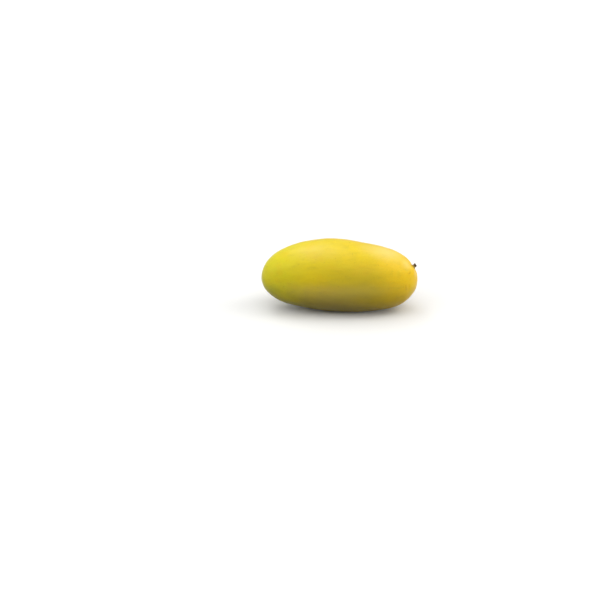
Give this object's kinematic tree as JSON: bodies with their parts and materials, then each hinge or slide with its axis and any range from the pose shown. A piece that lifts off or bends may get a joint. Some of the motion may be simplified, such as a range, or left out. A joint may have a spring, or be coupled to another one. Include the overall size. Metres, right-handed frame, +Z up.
{
  "type": "mango",
  "caption": "Whole ripe yellow mango with its dry stem stub, lying on a small flat spot of its belly edge.",
  "frame": {"origin": "on the surface it rests on, under the middle of its box", "axes": "+X from the tip to the stem end, +Z up, +Y away from the viewer, the way the back edge leans"},
  "size_m": [0.1404, 0.0606, 0.0654],
  "materials": {
    "mango_skin": "waxy yellow fruit skin, greener at the tip, warmer at the stem end",
    "stem_wood": "dry dark brown stem"
  },
  "bodies": {
    "root": {"mango_fruit": "mango_skin", "stem_stub": "stem_wood"}
  },
  "joints": []
}
